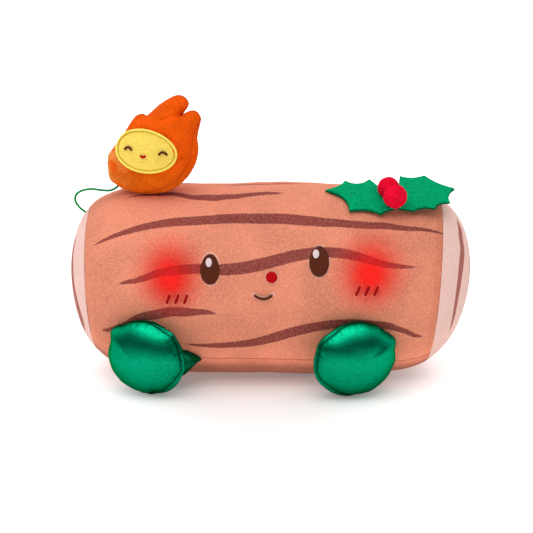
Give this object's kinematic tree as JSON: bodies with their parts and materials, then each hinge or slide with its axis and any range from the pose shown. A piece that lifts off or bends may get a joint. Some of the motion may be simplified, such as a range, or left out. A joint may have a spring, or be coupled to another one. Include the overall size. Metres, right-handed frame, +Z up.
{
  "type": "stuffed yule log soft toy",
  "caption": "Stuffed plush yule log lying on its side, with a friendly face, puffy green feet, a small plush flame on a cord and a felt holly sprig.",
  "frame": {"origin": "middle of the log's flat underside, on the surface it rests on", "axes": "+X along the log towards the holly, +Z up, -Y towards the face"},
  "size_m": [0.2968, 0.165, 0.2075],
  "materials": {
    "bark_plush": "short-pile plush, salmon brown with printed darker grain",
    "end_plush": "short-pile plush, pale pink cream with printed rings",
    "foil_cloth": "metallic coated cloth, green",
    "flame_plush": "short-pile plush, orange",
    "face_plush": "short-pile plush, yellow",
    "gold_thread": "satin-stitched thread, golden yellow",
    "felt": "wool felt, green",
    "wool": "felted wool, red",
    "brown_thread": "satin-stitched thread, dark brown",
    "white_thread": "satin-stitched thread, white",
    "red_thread": "satin-stitched thread, dark red",
    "cord": "twisted cord, green"
  },
  "bodies": {
    "root": {"log_barrel": "bark_plush", "end_left": "end_plush", "end_right": "end_plush", "foot_left": "foil_cloth", "foot_right": "foil_cloth", "cuff_left": "foil_cloth", "cuff_right": "foil_cloth", "flame_body": "flame_plush", "flame_face": "face_plush", "flame_rim": "gold_thread", "flame_eye_left": "brown_thread", "flame_eye_right": "brown_thread", "flame_mouth": "red_thread", "eye_left": "brown_thread", "eye_right": "brown_thread", "glint_left": "white_thread", "glint_right": "white_thread", "nose": "red_thread", "smile": "brown_thread", "blush_left_1": "red_thread", "blush_left_2": "red_thread", "blush_left_3": "red_thread", "blush_right_1": "red_thread", "blush_right_2": "red_thread", "blush_right_3": "red_thread", "leaf_left": "felt", "leaf_right": "felt", "berry_back": "wool", "berry_front": "wool", "flame_cord": "cord"}
  },
  "joints": []
}
